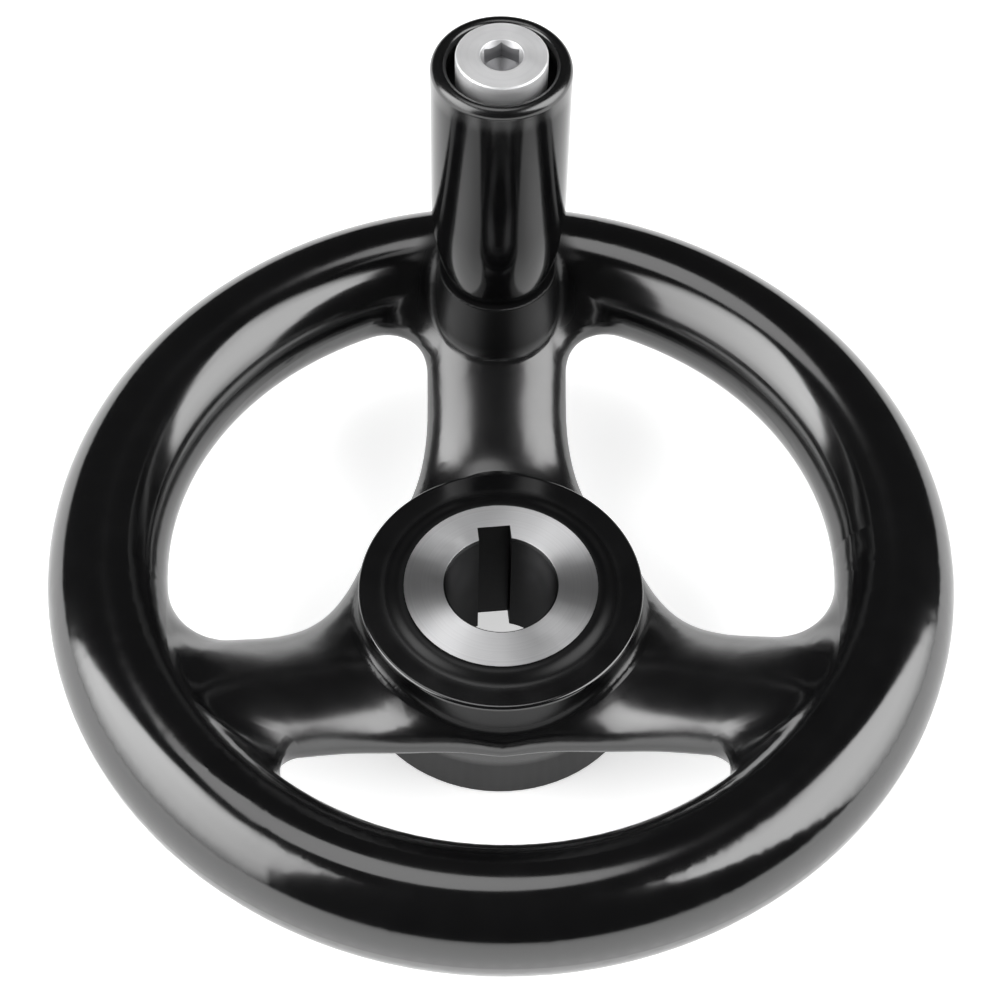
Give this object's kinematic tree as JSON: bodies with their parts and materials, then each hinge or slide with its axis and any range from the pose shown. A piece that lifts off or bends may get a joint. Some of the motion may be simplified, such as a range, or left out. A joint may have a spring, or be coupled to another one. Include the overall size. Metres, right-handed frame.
{
  "type": "machine handwheel",
  "caption": "Black phenolic machine handwheel with dished oval spokes, a keyed steel hub bush and a revolving cylindrical handle on a boss at the rim.",
  "frame": {"origin": "On the wheel's axis, in the plane of the hub's back face, which is the face that seats against the machine.", "axes": "+Z runs along the shaft bore out of the hub's front, towards the operator. +Y points from the wheel's axis to the handle. +X completes a right-handed frame."},
  "size_m": [0.16, 0.16, 0.1027],
  "materials": {
    "phenolic_black": "glossy",
    "grip_black": "glossy",
    "bush_steel": "satin",
    "insert_brass": "satin",
    "spindle_zinc": "satin"
  },
  "bodies": {
    "wheel": {"wheel_body": "phenolic_black", "hub_bush": "bush_steel", "boss_insert": "insert_brass", "handle_spindle": "spindle_zinc"},
    "grip": {"grip": "grip_black"}
  },
  "joints": [
    {"name": "grip_spin", "type": "hinge", "parent": "wheel", "child": "grip", "pos_m": [0, 0.058, 0.0737], "axis": [0, 0, 1], "continuous": true}
  ]
}
